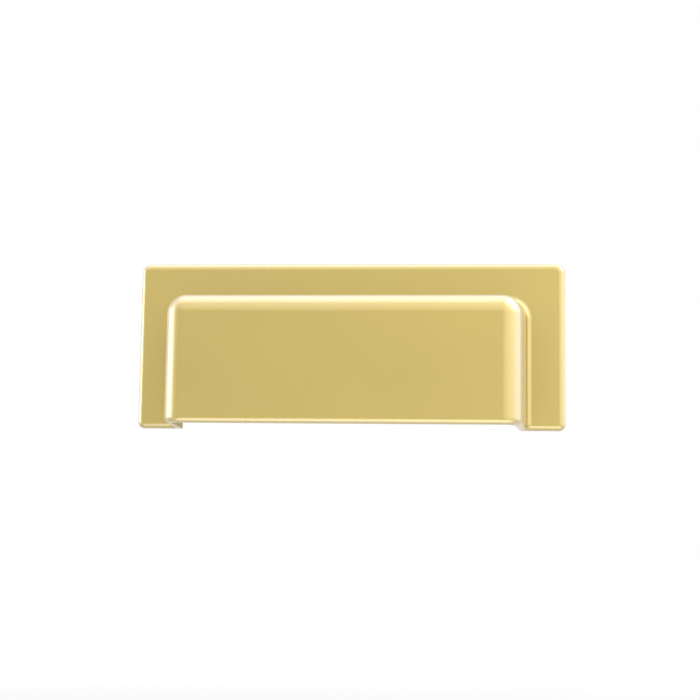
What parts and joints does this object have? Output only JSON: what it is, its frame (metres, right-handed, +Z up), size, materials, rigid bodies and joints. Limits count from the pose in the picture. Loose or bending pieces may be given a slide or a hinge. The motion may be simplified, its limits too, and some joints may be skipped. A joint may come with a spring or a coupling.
{
  "type": "cup pull cabinet handle",
  "caption": "Rectangular cup pull for a drawer or cabinet door: a flat flange with a box-shaped hood, open below for the fingers, in satin brass.",
  "frame": {"origin": "midway between the two screw holes, on the back face that lies on the drawer front", "axes": "+X along the pull, +Y into the drawer front, +Z up; the hood stands out towards -Y and opens towards -Z"},
  "size_m": [0.114, 0.025, 0.0444],
  "materials": {
    "satin_brass": "satin, lacquered"
  },
  "bodies": {
    "root": {"cup_pull": "satin_brass"}
  },
  "joints": []
}
